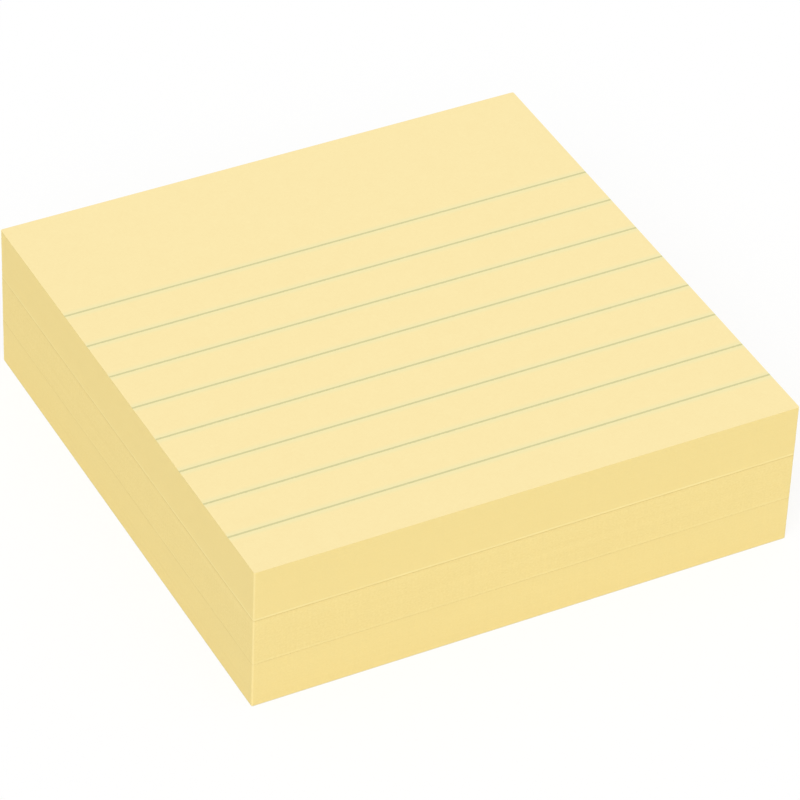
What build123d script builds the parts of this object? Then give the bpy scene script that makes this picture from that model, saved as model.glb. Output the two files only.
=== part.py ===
"""Lined sticky note pad: three lifts of square ruled notes in one thick block.

Bands of removable adhesive along the header edge hold the lifts together, and a backing sheet
closes the underside. Millimetres, +Z up. The ruled lines run along X, the glued header edge is
at +Y, and the origin is at the middle of the underside.
"""

import os
from math import floor

from build123d import *

# Notes, cut square; each lift is a block of loose notes glued only along the header edge
SHEET_WIDTH = 101.6
SHEET_LENGTH = 101.6
CORNER_RADIUS = 0.3
UPPER_LIFT_HEIGHT = 10.3
MIDDLE_LIFT_HEIGHT = 9.3
LOWER_LIFT_HEIGHT = 8.9

# Arrises that the blade rolls over where one lift meets the next
SEAM_ROLL = 0.1

# Ruling printed on the writing face of the top note
HEADER_DEPTH = 27.4
RULE_PITCH = 9.2
LEAST_FOOT_DEPTH = 5.0
RULE_WIDTH = 0.4
INK_FILM = 0.02

# Removable adhesive under each lift
ADHESIVE_BAND_WIDTH = 22.0
ADHESIVE_FILM = 0.02

# Backing sheet under the last note
BACKING_THICKNESS = 0.12


def note_outline():
    """The square outline of a note, its corners barely eased by the blade."""
    return RectangleRounded(SHEET_WIDTH, SHEET_LENGTH, CORNER_RADIUS)


def slab(outline, thickness, bottom):
    """A flat layer of the given outline, standing on the level bottom."""
    return Pos(0, 0, bottom) * extrude(outline, thickness)


def lift_of_notes(height, bottom, seam_below, seam_above):
    """One lift of notes, its rims rolled over where it meets another lift."""
    lift = slab(note_outline(), height, bottom)
    levels = lift.faces().filter_by(Axis.Z).sort_by(Axis.Z)
    rims = ShapeList()
    if seam_below:
        rims += levels[0].edges()
    if seam_above:
        rims += levels[-1].edges()
    return fillet(rims, SEAM_ROLL)


def adhesive_band(bottom):
    """A thin band along the header edge, set back to the flat land inside the rolled rims."""
    land = offset(note_outline(), -SEAM_ROLL)
    header_edge = SHEET_LENGTH / 2 - SEAM_ROLL
    band_middle = header_edge - ADHESIVE_BAND_WIDTH / 2
    band = Pos(0, band_middle) * Rectangle(SHEET_WIDTH, ADHESIVE_BAND_WIDTH)
    return slab(land & band, ADHESIVE_FILM, bottom)


def ruling(bottom):
    """Parallel printed lines from edge to edge, the first one below the blank header."""
    ruled_length = SHEET_LENGTH - HEADER_DEPTH - LEAST_FOOT_DEPTH
    rule_count = 1 + floor(ruled_length / RULE_PITCH)
    first_rule = SHEET_LENGTH / 2 - HEADER_DEPTH
    line = Rectangle(SHEET_WIDTH, RULE_WIDTH)
    rules = []
    for number in range(rule_count):
        place = Pos(0, first_rule - number * RULE_PITCH)
        rules.append(slab(place * line, INK_FILM, bottom))
    return Compound(children=rules)


# Levels of the stack, from the underside to the writing face
lower_band_level = BACKING_THICKNESS
lower_lift_level = lower_band_level + ADHESIVE_FILM
middle_band_level = lower_lift_level + LOWER_LIFT_HEIGHT
middle_lift_level = middle_band_level + ADHESIVE_FILM
upper_band_level = middle_lift_level + MIDDLE_LIFT_HEIGHT
upper_lift_level = upper_band_level + ADHESIVE_FILM
writing_face_level = upper_lift_level + UPPER_LIFT_HEIGHT

pieces = {
    "ruled_lines": ruling(writing_face_level),
    "upper_sheets": lift_of_notes(UPPER_LIFT_HEIGHT, upper_lift_level, True, False),
    "upper_adhesive": adhesive_band(upper_band_level),
    "middle_sheets": lift_of_notes(MIDDLE_LIFT_HEIGHT, middle_lift_level, True, True),
    "middle_adhesive": adhesive_band(middle_band_level),
    "lower_sheets": lift_of_notes(LOWER_LIFT_HEIGHT, lower_lift_level, False, True),
    "lower_adhesive": adhesive_band(lower_band_level),
    "backing_sheet": slab(note_outline(), BACKING_THICKNESS, 0),
}

os.makedirs("parts", exist_ok=True)
for node, piece in pieces.items():
    export_step(piece, f"parts/{node}.step")
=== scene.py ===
"""Lined sticky note pad: its sheets, ruling, adhesive and backing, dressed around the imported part."""

import math
import random

import bpy
from mathutils import Matrix, Vector


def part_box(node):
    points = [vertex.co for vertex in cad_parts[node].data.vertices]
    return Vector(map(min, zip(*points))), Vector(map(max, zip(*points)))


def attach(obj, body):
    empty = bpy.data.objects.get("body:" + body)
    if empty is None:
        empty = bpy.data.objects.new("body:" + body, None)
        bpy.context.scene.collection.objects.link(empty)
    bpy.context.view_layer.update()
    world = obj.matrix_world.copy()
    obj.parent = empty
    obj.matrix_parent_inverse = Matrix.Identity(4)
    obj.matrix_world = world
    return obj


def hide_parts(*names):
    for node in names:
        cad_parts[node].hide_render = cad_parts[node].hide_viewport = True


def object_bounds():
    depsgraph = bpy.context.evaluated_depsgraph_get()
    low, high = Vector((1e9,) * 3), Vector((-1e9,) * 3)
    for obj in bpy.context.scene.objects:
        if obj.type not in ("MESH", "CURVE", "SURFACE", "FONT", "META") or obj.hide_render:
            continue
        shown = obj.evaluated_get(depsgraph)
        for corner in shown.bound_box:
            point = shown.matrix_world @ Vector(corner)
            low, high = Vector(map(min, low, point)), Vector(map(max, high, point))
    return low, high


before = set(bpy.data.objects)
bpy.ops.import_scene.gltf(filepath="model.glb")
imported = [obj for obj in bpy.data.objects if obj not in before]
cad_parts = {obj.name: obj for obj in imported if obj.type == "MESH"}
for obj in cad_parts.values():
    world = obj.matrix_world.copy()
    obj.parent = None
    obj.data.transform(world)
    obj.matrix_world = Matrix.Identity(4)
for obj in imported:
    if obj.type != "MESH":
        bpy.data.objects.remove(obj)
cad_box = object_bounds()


# Notes: three lifts of a hundred uncoated yellow sheets, cut square in a guillotine and stacked.
# Every sheet shows its own cut edge, a few thousandths of a millimetre out of line. The blade
# draws in the rims where two lifts meet, and painted shade deepens the colour in that recess.
# A paler band just above a lift's lower rim is a painted highlight, and the upright corners
# are painted paler, partly as rubbed paper and partly as a painted highlight.
MM = 0.001
NOTES_PER_LIFT = 100
CORNER_RADIUS = 0.3 * MM
CORNER_SEGMENTS = 4
OUTLINE_POINTS = 4 * (CORNER_SEGMENTS + 1)
EDGE_CRUSH = 0.018 * MM
HAIRLINE_DEPTH = 0.02 * MM
OUT_OF_LINE = 0.006 * MM
OUT_OF_LINE_KEPT_SHARE = 0.75
PRESSED_NOTES = 6
SEAM_DEPTH = 0.1 * MM
SEAM_LIP = 0.002 * MM
# Band of painted highlight just above a lift's lower rim
RIM_HIGHLIGHT_START = 0.1 * MM
RIM_HIGHLIGHT_FULL = 0.33 * MM
RIM_HIGHLIGHT_END = 0.55 * MM
TOOTH_HEIGHT = 0.02 * MM
FRAY_HEIGHT = 0.04 * MM

FACE_PALE = (0.991, 0.841, 0.443, 1)
FACE_DEEP = (0.949, 0.775, 0.384, 1)
FACE_ROUGHNESS = (0.82, 0.96)
EDGE_PALE = (0.937, 0.778, 0.352, 1)
EDGE_DEEP = (0.857, 0.694, 0.288, 1)
# Upright corners: partly rubbed paper, partly a painted highlight
EDGE_WORN_AND_HIGHLIT = (0.930, 0.790, 0.385, 1)
# Painted highlight just above a lift's lower rim
EDGE_PAINTED_HIGHLIGHT = (1.0, 0.880, 0.445, 1)
# Painted shade inside the seams
EDGE_PAINTED_SHADE = (0.785, 0.622, 0.255, 1)
EDGE_ROUGHNESS = (0.86, 0.98)
CORNER_WEAR_AND_HIGHLIGHT_SHARE = 0.7

# Grain of the paper and of its cut edges, in millimetres along X, Y and Z
CLOUD_GRAIN = (3, 3, 3)
FIBRE_GRAIN = (0.9, 0.07, 0.3)
FIBRE_TURNS = (24, 97, 151)
TOOTH_GRAIN = (0.13, 0.13, 0.13)
SHEET_GRAIN = (17, 17, 0.105)
BUNDLE_GRAIN = (110, 110, 1.1)
BLADE_GRAIN = (0.28, 0.28, 11)
FRAY_GRAIN = (0.42, 0.42, 0.32)
# Patches of the painted highlight above a lift's lower rim
RIM_HIGHLIGHT_GRAIN = (11, 11, 11)

# Places of a lift's faces when they are laid out flat on a sheet of unit size
STRIP_SHARE = 0.98
STRIP_MIDDLE = 0.5
FIRST_STRIP = 0.055
STRIP_PITCH = 0.11
TOP_SHARE = 0.55
TOP_MIDDLE = Vector((0.28, 0.72))
UNDERSIDE_SHARE = 0.4
UNDERSIDE_MIDDLE = Vector((0.78, 0.72))


def add_node(tree, kind, **settings):
    """A shader node with its own settings, such as an operation or a data type."""
    node = tree.nodes.new(kind)
    for name, value in settings.items():
        setattr(node, name, value)
    return node


def put(tree, socket, value):
    """Links a socket to another, or sets it to a plain value."""
    if isinstance(value, bpy.types.NodeSocket):
        tree.links.new(value, socket)
    else:
        socket.default_value = value


def feed(tree, node, **values):
    """Puts values into a node's inputs, named as on the node with _ for a space."""
    for name, value in values.items():
        put(tree, node.inputs[name.replace("_", " ")], value)


def maths(tree, operation, *values):
    """The result of one sum on values or sockets."""
    node = add_node(tree, "ShaderNodeMath", operation=operation)
    for socket, value in zip(node.inputs, values):
        put(tree, socket, value)
    return node.outputs["Value"]


def weighed(tree, *parts):
    """The sum of several values, each with its weight."""
    total = 0.0
    for value, weight in parts:
        total = maths(tree, "MULTIPLY_ADD", value, weight, total)
    return total


def noise(tree, place, grain, detail, turn=0.0):
    """Soft noise whose grain has a size in millimetres along X, Y and Z, turned about Z."""
    mapping = add_node(tree, "ShaderNodeMapping", vector_type="TEXTURE")
    feed(tree, mapping, Vector=place, Rotation=(0, 0, turn), Scale=[length * MM for length in grain])
    texture = add_node(tree, "ShaderNodeTexNoise")
    feed(tree, texture, Vector=mapping.outputs["Vector"], Scale=1.0, Detail=detail)
    return texture.outputs["Fac"]


def ranged(tree, value, low, high, from_low=0.3, from_high=0.7, smooth=False):
    """A value moved to run from low to high. Noise mostly lies between 0.3 and 0.7."""
    node = add_node(tree, "ShaderNodeMapRange")
    if smooth:
        node.interpolation_type = "SMOOTHSTEP"
    feed(tree, node, Value=value, From_Min=from_low, From_Max=from_high, To_Min=low, To_Max=high)
    return node.outputs["Result"]


def between(tree, share, first, second):
    """The colour that lies between two others by a share."""
    node = add_node(tree, "ShaderNodeMix", data_type="RGBA")
    put(tree, node.inputs["Factor"], share)
    ends = [socket for socket in node.inputs if socket.type == "RGBA"]
    for socket, colour in zip(ends, (first, second)):
        put(tree, socket, colour)
    return next(socket for socket in node.outputs if socket.type == "RGBA")


def raised(tree, height, strength, distance):
    """The normal of a surface with a height that changes over it."""
    bump = add_node(tree, "ShaderNodeBump")
    feed(tree, bump, Height=height, Strength=strength, Distance=distance)
    return bump.outputs["Normal"]


def axes_of(tree, place):
    """A place's distances along X, Y and Z."""
    split = add_node(tree, "ShaderNodeSeparateXYZ")
    feed(tree, split, Vector=place)
    return split.outputs


def new_group(name, *results):
    """A shader node group that takes a place and puts out the named values."""
    group = bpy.data.node_groups.new(name, "ShaderNodeTree")
    group.interface.new_socket("Place", in_out="INPUT", socket_type="NodeSocketVector")
    for result in results:
        group.interface.new_socket(result, in_out="OUTPUT", socket_type="NodeSocketFloat")
    place = add_node(group, "NodeGroupInput").outputs["Place"]
    return group, place, add_node(group, "NodeGroupOutput")


def laid_on(tree, group, place):
    """The values that a node group gives at a place."""
    node = add_node(tree, "ShaderNodeGroup", node_tree=group)
    feed(tree, node, Place=place)
    return node.outputs


def paper_fibre_group():
    """Uncoated paper: cloudy formation, felted fibres that lie three ways, and a fine tooth."""
    group, place, results = new_group("paper_fibre", "Cloud", "Fibre", "Tooth")
    felted = []
    for turn in FIBRE_TURNS:
        strands = noise(group, place, FIBRE_GRAIN, 2, turn=math.radians(turn))
        felted.append((ranged(group, strands, 0, 1), 1 / len(FIBRE_TURNS)))
    feed(group, results, Cloud=noise(group, place, CLOUD_GRAIN, 3), Fibre=weighed(group, *felted),
         Tooth=noise(group, place, TOOTH_GRAIN, 2))
    return group


paper_fibre = paper_fibre_group()


def new_material(name, shine):
    """A material with its shader, object coordinates, and the paper's fibre laid on them."""
    material = bpy.data.materials.new(name)
    material.use_nodes = True
    tree = material.node_tree
    shader = tree.nodes["Principled BSDF"]
    feed(tree, shader, Specular_IOR_Level=shine)
    place = add_node(tree, "ShaderNodeTexCoord").outputs["Object"]
    return material, tree, shader, place, laid_on(tree, paper_fibre, place)


def face_colour(tree, shader, fibre):
    """The colour of a note's flat side: matte yellow paper, cloudy to the light and felted close
    to. The shader gets the paper's tooth."""
    tone = weighed(tree, (ranged(tree, fibre["Cloud"], 0, 1), 0.12), (fibre["Fibre"], 0.88))
    height = weighed(tree, (fibre["Tooth"], 0.5), (fibre["Fibre"], 0.5))
    feed(tree, shader, Roughness=ranged(tree, fibre["Tooth"], *FACE_ROUGHNESS),
         Normal=raised(tree, height, strength=0.3, distance=TOOTH_HEIGHT))
    return between(tree, tone, FACE_DEEP, FACE_PALE)


def note_face_material():
    """A blank side of a note."""
    material, tree, shader, _, fibre = new_material("note_face", shine=0.25)
    feed(tree, shader, Base_Color=face_colour(tree, shader, fibre))
    return material


def painted_rim_highlight(tree, place, level, low, rim_highlight_share):
    """A mask of a painted highlight just above a lift's lower rim, stronger here and weaker there."""
    starts = ranged(tree, level, 0, rim_highlight_share, low + RIM_HIGHLIGHT_START, low + RIM_HIGHLIGHT_FULL, smooth=True)
    ends = ranged(tree, level, 1, 0, low + RIM_HIGHLIGHT_FULL, low + RIM_HIGHLIGHT_END, smooth=True)
    patches = ranged(tree, noise(tree, place, RIM_HIGHLIGHT_GRAIN, 2), 0.4, 1.2)
    return maths(tree, "MULTIPLY", maths(tree, "MULTIPLY", starts, ends), patches)


def corner_wear_and_highlight(tree, across, along):
    """A mask of the four upright corners, painted paler: partly rubbed paper, partly a painted
    highlight.
    """
    half_width = cad_box[1].x
    starts = half_width - 1.2 * CORNER_RADIUS
    ends = half_width - 0.4 * CORNER_RADIUS
    from_middle = maths(tree, "MINIMUM", maths(tree, "ABSOLUTE", across), maths(tree, "ABSOLUTE", along))
    return ranged(tree, from_middle, 0, CORNER_WEAR_AND_HIGHLIGHT_SHARE, starts, ends, smooth=True)


def painted_seam_shade(tree, level, seam_below, seam_above):
    """A mask of painted shade on the drawn-in paper inside the seams below and above a lift."""
    return maths(tree, "MAXIMUM", maths(tree, "LESS_THAN", level, seam_below + SEAM_LIP),
                 maths(tree, "GREATER_THAN", level, seam_above - SEAM_LIP))


def cut_edge_material(name, low, high, open_below, open_above, rim_highlight_share, unevenness):
    """Stacked cut edges: deeper in colour than the face, with sheets that differ a little,
    faint upright marks of the blade, frayed fibre ends, paler corners that are partly rubbed paper
    and partly a painted highlight, a painted highlight near the lower rim, and painted shade
    inside the seams."""
    material, tree, shader, place, fibre = new_material(name, shine=0.15)
    sheets = noise(tree, place, SHEET_GRAIN, 1)
    bundles = noise(tree, place, BUNDLE_GRAIN, 2)
    blade = noise(tree, place, BLADE_GRAIN, 3)
    frays = noise(tree, place, FRAY_GRAIN, 2)
    tone = weighed(tree, (sheets, 0.18), (bundles, 0.18), (blade, 0.14), (frays, 0.5))
    tone = ranged(tree, tone, 0.5 - unevenness / 2, 0.5 + unevenness / 2)
    across, along, level = axes_of(tree, place)
    seams = painted_seam_shade(tree, level, low + open_below, high - open_above)
    colour = between(tree, tone, EDGE_DEEP, EDGE_PALE)
    # Painted highlight just above the lift's lower rim
    colour = between(tree, painted_rim_highlight(tree, place, level, low, rim_highlight_share), colour, EDGE_PAINTED_HIGHLIGHT)
    # Paler upright corners: partly rubbed paper, partly a painted highlight
    colour = between(tree, corner_wear_and_highlight(tree, across, along), colour, EDGE_WORN_AND_HIGHLIT)
    # Painted shade inside the seams
    colour = between(tree, seams, colour, EDGE_PAINTED_SHADE)
    height = weighed(tree, (fibre["Tooth"], 0.3), (blade, 0.2), (frays, 0.5))
    feed(tree, shader, Base_Color=colour, Roughness=ranged(tree, blade, *EDGE_ROUGHNESS),
         Normal=raised(tree, height, strength=0.3 * unevenness, distance=FRAY_HEIGHT))
    return material


def is_note_side(face):
    """Whether a face is the flat side of a note, which has more corners than a strip of edge."""
    return len(face.vertices) > 4


def is_writing_face(face):
    """Whether a face is the flat side of the top note of a lift."""
    return is_note_side(face) and face.normal.z > 0


def unfold(lift, middle, reach, open_below, open_above):
    """Lays the faces out flat for colour maps: the four sides as long strips, with their
    drawn-in rims folded out, and the top and the underside next to each other above them."""
    mesh = lift.data
    layout = mesh.uv_layers.new(name="OFBake").data
    fold = SEAM_DEPTH / (2 * reach)
    past_lower_rim = 2 * OUTLINE_POINTS
    upper_rim = len(mesh.vertices) - 2 * OUTLINE_POINTS
    for face in mesh.polygons:
        outward = face.center - middle
        across = abs(outward.x) > abs(outward.y)
        strip = 2 * across + ((outward.x if across else outward.y) > 0)
        for corner in face.loop_indices:
            number = mesh.loops[corner].vertex_index
            x, y, z = (mesh.vertices[number].co - middle) / (2 * reach)
            if is_writing_face(face):
                layout[corner].uv = TOP_MIDDLE + TOP_SHARE * Vector((x, y))
                continue
            if is_note_side(face):
                layout[corner].uv = UNDERSIDE_MIDDLE + UNDERSIDE_SHARE * Vector((x, y))
                continue
            if open_below and number < past_lower_rim:
                z -= fold
            if open_above and number >= upper_rim:
                z += fold
            layout[corner].uv = (STRIP_MIDDLE + STRIP_SHARE * (y if across else x),
                                 FIRST_STRIP + STRIP_PITCH * strip + STRIP_SHARE * z)


def edge_rings(number, pitch, reach, open_below, open_above):
    """The rings that draw one sheet's edge, each by its rise above the sheet's foot and by its
    reach: out over the crushed lower arris, up the cut edge and back into the hairline under the
    next sheet. At a seam the outermost sheet is drawn in, and opens it by the given height."""
    drawn_in = reach - SEAM_DEPTH
    slot = pitch - open_above
    arris = [(EDGE_CRUSH, reach)]
    cut = [(pitch - EDGE_CRUSH, reach), (pitch, reach - HAIRLINE_DEPTH)]
    if number == 0:
        arris = [(open_below, drawn_in), (open_below, reach)] if open_below else []
    if number == NOTES_PER_LIFT - 1:
        cut = [(slot, reach), (slot, drawn_in), (pitch, drawn_in)] if open_above else [(pitch, reach)]
    return arris + cut


def lift_of_notes(name, node, aside, open_below, open_above, rim_highlight_share, unevenness, seed):
    """Raises a lift sheet by sheet from a flat note, each a little out of line with the one below.
    The first and last few sheets are pressed straight, and the whole lift may lie aside."""
    low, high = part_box(node)
    centre = (low + high) / 2 + Vector((aside, 0, 0))
    pitch = (high.z - low.z) / NOTES_PER_LIFT
    reach = (high.x - low.x) / 2
    out = reach - SEAM_DEPTH if open_below else reach
    at = Vector((centre.x, centre.y, low.z))
    bpy.ops.object.select_all(action="DESELECT")
    bpy.ops.mesh.primitive_plane_add(size=2 * out, location=at)
    lift = bpy.context.object
    lift.name = name
    bpy.ops.object.transform_apply(location=True, rotation=True, scale=True)
    bpy.ops.object.mode_set(mode="EDIT")
    bpy.ops.mesh.select_all(action="SELECT")
    bpy.ops.mesh.bevel(offset=CORNER_RADIUS, segments=CORNER_SEGMENTS, affect="VERTICES")
    bpy.ops.mesh.select_all(action="SELECT")
    chance = random.Random(seed)
    shift = Vector((0, 0, 0))
    for number in range(NOTES_PER_LIFT):
        nudge = Vector((chance.gauss(0, OUT_OF_LINE), chance.gauss(0, OUT_OF_LINE), 0))
        shift = shift * OUT_OF_LINE_KEPT_SHARE + nudge
        loose_share = min(1, number / PRESSED_NOTES, (NOTES_PER_LIFT - 1 - number) / PRESSED_NOTES)
        sheet = Vector((centre.x, centre.y, low.z + number * pitch)) + shift * loose_share
        for rise, wanted in edge_rings(number, pitch, reach, open_below, open_above):
            goal = sheet + Vector((0, 0, rise))
            bpy.ops.mesh.extrude_region_move(TRANSFORM_OT_translate={"value": goal - at})
            size = wanted / out
            bpy.ops.transform.resize(value=(size, size, 1), center_override=goal)
            at, out = goal, wanted
    bpy.ops.mesh.select_all(action="SELECT")
    bpy.ops.mesh.normals_make_consistent(inside=False)
    bpy.ops.object.mode_set(mode="OBJECT")
    lift.data.materials.append(note_face)
    lift.data.materials.append(cut_edge_material(f"{name}_edge", low.z, high.z, open_below,
                                                 open_above, rim_highlight_share, unevenness))
    for face in lift.data.polygons:
        face.material_index = 0 if is_note_side(face) else 1
    unfold(lift, centre, reach, open_below, open_above)
    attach(lift, "root")
    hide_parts(node)
    return lift


note_face = note_face_material()
upper_notes = lift_of_notes("upper_notes", "upper_sheets", aside=0.025 * MM, open_below=0.0185 * MM,
                            open_above=0, rim_highlight_share=0.55, unevenness=0.3, seed=11)
lift_of_notes("middle_notes", "middle_sheets", aside=0.015 * MM, open_below=0.0075 * MM,
              open_above=0.013 * MM, rim_highlight_share=0.2, unevenness=1.0, seed=23)
lift_of_notes("lower_notes", "lower_sheets", aside=0, open_below=0, open_above=0.0075 * MM,
              rim_highlight_share=0, unevenness=0.55, seed=37)


# Ruling: thin pale green lines printed on the top note from edge to edge, under a blank header.
# The ink is a film that soaks into the paper, so a line is matte, uneven, and feathered along
# its sides, with a faint greenish stain beyond them.
RULE_COUNT = 8
RULE_HALF_WIDTH = 0.2 * MM
FEATHER = 0.05 * MM
FEATHER_GRAIN = (0.19, 0.19, 0.19)
STAIN_REACH = 1.5 * MM
STAIN_SHARE = 0.48
INK_FULL = (0.63, 0.59, 0.30, 1)
INK_THIN = (0.72, 0.66, 0.34, 1)
INK_STAIN = (0.836, 0.828, 0.488, 1)


def rule_print_group():
    """How much ink and stain the paper holds, by the distance from the nearest line."""
    low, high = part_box("ruled_lines")
    first = high.y - RULE_HALF_WIDTH
    last = low.y + RULE_HALF_WIDTH
    half_pitch = (first - last) / (RULE_COUNT - 1) / 2
    ruled_middle = (first + last) / 2
    ruled_reach = (first - last) / 2 + half_pitch
    group, place, results = new_group("rule_print", "Ink", "Stain")
    along = axes_of(group, place)["Y"]
    from_line = maths(group, "PINGPONG", maths(group, "SUBTRACT", along, last), half_pitch)
    drift = ranged(group, noise(group, place, FEATHER_GRAIN, 3), -FEATHER, FEATHER)
    print_edge = maths(group, "ADD", from_line, drift)
    line = ranged(group, print_edge, 1, 0, RULE_HALF_WIDTH - FEATHER, RULE_HALF_WIDTH + FEATHER,
                  smooth=True)
    stain = ranged(group, from_line, STAIN_SHARE, 0, RULE_HALF_WIDTH, STAIN_REACH, smooth=True)
    ruled = maths(group, "COMPARE", along, ruled_middle, ruled_reach)
    feed(group, results, Ink=maths(group, "MULTIPLY", line, ruled),
         Stain=maths(group, "MULTIPLY", stain, ruled))
    return group


rule_print = rule_print_group()


def ruled_material(name):
    """A note's flat side with ink on it, thinner where the fibres took less of it."""
    material, tree, shader, place, fibre = new_material(name, shine=0.25)
    ruling = laid_on(tree, rule_print, place)
    paper = between(tree, ruling["Stain"], face_colour(tree, shader, fibre), INK_STAIN)
    ink = between(tree, fibre["Fibre"], INK_FULL, INK_THIN)
    feed(tree, shader, Base_Color=between(tree, ruling["Ink"], paper, ink))
    return material


def dress_node(node, material):
    """Puts a material on every slot of a CAD node."""
    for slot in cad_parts[node].material_slots:
        slot.material = material


dress_node("ruled_lines", ruled_material("rule_ink"))
upper_notes.data.materials.append(ruled_material("ruled_face"))
for face in upper_notes.data.polygons:
    if is_writing_face(face):
        face.material_index = upper_notes.data.materials.find("ruled_face")


# Adhesive: milky bands of removable glue along the header edge, between the lifts and over the
# backing. The glue is tiny soft beads that stand up from the paper, so its surface is pebbled.
GLUE_PALE = (0.90, 0.86, 0.72, 1)
GLUE_DEEP = (0.82, 0.77, 0.58, 1)
GLUE_ROUGHNESS = (0.3, 0.5)
BEADS_PER_METRE = 9000
BEAD_HEIGHT = 0.02 * MM


def adhesive_material():
    """Pebbled, faintly shiny glue."""
    material, tree, shader, place, fibre = new_material("adhesive", shine=0.4)
    beads = add_node(tree, "ShaderNodeTexVoronoi")
    feed(tree, beads, Vector=place, Scale=BEADS_PER_METRE)
    tone = ranged(tree, fibre["Cloud"], 0, 1)
    feed(tree, shader, Base_Color=between(tree, tone, GLUE_DEEP, GLUE_PALE),
         Roughness=ranged(tree, fibre["Tooth"], *GLUE_ROUGHNESS),
         Normal=raised(tree, beads.outputs["Distance"], strength=0.3, distance=BEAD_HEIGHT))
    return material


glue = adhesive_material()
for node in ("upper_adhesive", "middle_adhesive", "lower_adhesive"):
    dress_node(node, glue)


# Backing: one plain sheet of off-white paper under the last note, cut with the pad.
# It covers that note's adhesive and is what the pad rests on.
BACKING_PALE = (0.88, 0.84, 0.72, 1)
BACKING_DEEP = (0.82, 0.77, 0.64, 1)
BACKING_ROUGHNESS = (0.7, 0.86)


def backing_material():
    """Off-white, slightly smoother paper than the notes."""
    material, tree, shader, _, fibre = new_material("backing_paper", shine=0.3)
    tone = ranged(tree, weighed(tree, (fibre["Cloud"], 0.5), (fibre["Fibre"], 0.5)), 0, 1)
    feed(tree, shader, Base_Color=between(tree, tone, BACKING_DEEP, BACKING_PALE),
         Roughness=ranged(tree, fibre["Tooth"], *BACKING_ROUGHNESS),
         Normal=raised(tree, fibre["Tooth"], strength=0.1, distance=TOOTH_HEIGHT))
    return material


dress_node("backing_sheet", backing_material())


# Floor: a wide white table top that the pad lies on. To the camera it is lifted towards white,
# and it keeps the pad's soft shadow.
FLOOR_SIZE = 6.0
FLOOR_GREY = (0.78, 0.78, 0.78, 1)
FLOOR_WHITE = (1.0, 1.0, 1.0, 1)
FLOOR_LIFT_SHARE = 0.8


def seen_outright(tree):
    """1 for a ray that shows the room itself: from the camera, or by way of a mirror or glass."""
    paths = add_node(tree, "ShaderNodeLightPath").outputs
    mirrored = maths(tree, "MAXIMUM", paths["Is Glossy Ray"], paths["Is Transmission Ray"])
    return maths(tree, "MAXIMUM", paths["Is Camera Ray"], mirrored)


def floor_material():
    """White and partly aglow where it is seen outright, and a pale grey to the room's light."""
    material = bpy.data.materials.new("floor_white")
    material.use_nodes = True
    tree = material.node_tree
    shader = tree.nodes["Principled BSDF"]
    seen = seen_outright(tree)
    feed(tree, shader, Roughness=1.0, Specular_IOR_Level=0.0,
         Base_Color=between(tree, seen, FLOOR_GREY, FLOOR_WHITE))
    glow = add_node(tree, "ShaderNodeEmission")
    feed(tree, glow, Color=FLOOR_WHITE, Strength=1.0)
    lifted = add_node(tree, "ShaderNodeMixShader")
    share, shaded, aglow = lifted.inputs
    put(tree, share, maths(tree, "MULTIPLY", seen, FLOOR_LIFT_SHARE))
    put(tree, shaded, shader.outputs["BSDF"])
    put(tree, aglow, glow.outputs["Emission"])
    put(tree, tree.nodes["Material Output"].inputs["Surface"], lifted.outputs["Shader"])
    return material


bpy.ops.object.select_all(action="DESELECT")
bpy.ops.mesh.primitive_plane_add(size=FLOOR_SIZE, location=(0, 0, cad_box[0].z))
floor = bpy.context.object
floor.name = "floor"
floor.data.materials.append(floor_material())


# Light: an even white room, with one broad lamp high in front that favours the foot of the pad.
# Where the room itself is seen, it is plain white.
ROOM_WHITE = (1, 1, 1, 1)
ROOM_STRENGTH = 0.67
SEEN_STRENGTH = 1.0
LAMP_STRENGTH = 1.45
LAMP_DIRECTION = (-0.39, -0.575, 0.72)
LAMP_WIDTH = math.radians(50)

scene = bpy.context.scene
scene.world = bpy.data.worlds.new("white_room")
scene.world.use_nodes = True
room = scene.world.node_tree
strength = ranged(room, seen_outright(room), ROOM_STRENGTH, SEEN_STRENGTH, from_low=0, from_high=1)
feed(room, room.nodes["Background"], Color=ROOM_WHITE, Strength=strength)

bpy.ops.object.light_add(type="SUN", location=LAMP_DIRECTION)
lamp = bpy.context.object
lamp.name = "broad_lamp"
lamp.data.energy = LAMP_STRENGTH
lamp.data.angle = LAMP_WIDTH
lamp.rotation_euler = Vector(LAMP_DIRECTION).to_track_quat("Z", "Y").to_euler()


# Camera: a long lens that looks down on the near left corner, rolled by a few degrees. Its place
# and lens are fitted to the seven corners of the pad that can be seen.
AZIMUTH = math.radians(-28.725)
ELEVATION = math.radians(38.412)
ROLL = math.radians(2.461)
DISTANCE = 818.84 * MM
AIM_RIGHT = 1.815 * MM
AIM_UP = -3.028 * MM
FOCAL_PIXELS = 4734.4
FRAME_PIXELS = 800
NEAREST_SEEN = 10 * MM

back = Vector((math.sin(AZIMUTH) * math.cos(ELEVATION),
               -math.cos(AZIMUTH) * math.cos(ELEVATION), math.sin(ELEVATION)))
level = Vector((0, 0, 1)).cross(back).normalized()
upright = back.cross(level)
right = level * math.cos(ROLL) + upright * math.sin(ROLL)
up = upright * math.cos(ROLL) - level * math.sin(ROLL)
pad_middle = (cad_box[0] + cad_box[1]) / 2
camera_place = pad_middle + back * DISTANCE + right * AIM_RIGHT + up * AIM_UP
bpy.ops.object.camera_add(location=camera_place)
camera = bpy.context.object
camera.name = "view_camera"
camera.rotation_euler = Matrix((right, up, back)).transposed().to_euler()
camera.data.lens = camera.data.sensor_width * FOCAL_PIXELS / FRAME_PIXELS
camera.data.clip_start = NEAREST_SEEN
scene.camera = camera
scene.view_settings.view_transform = "Standard"
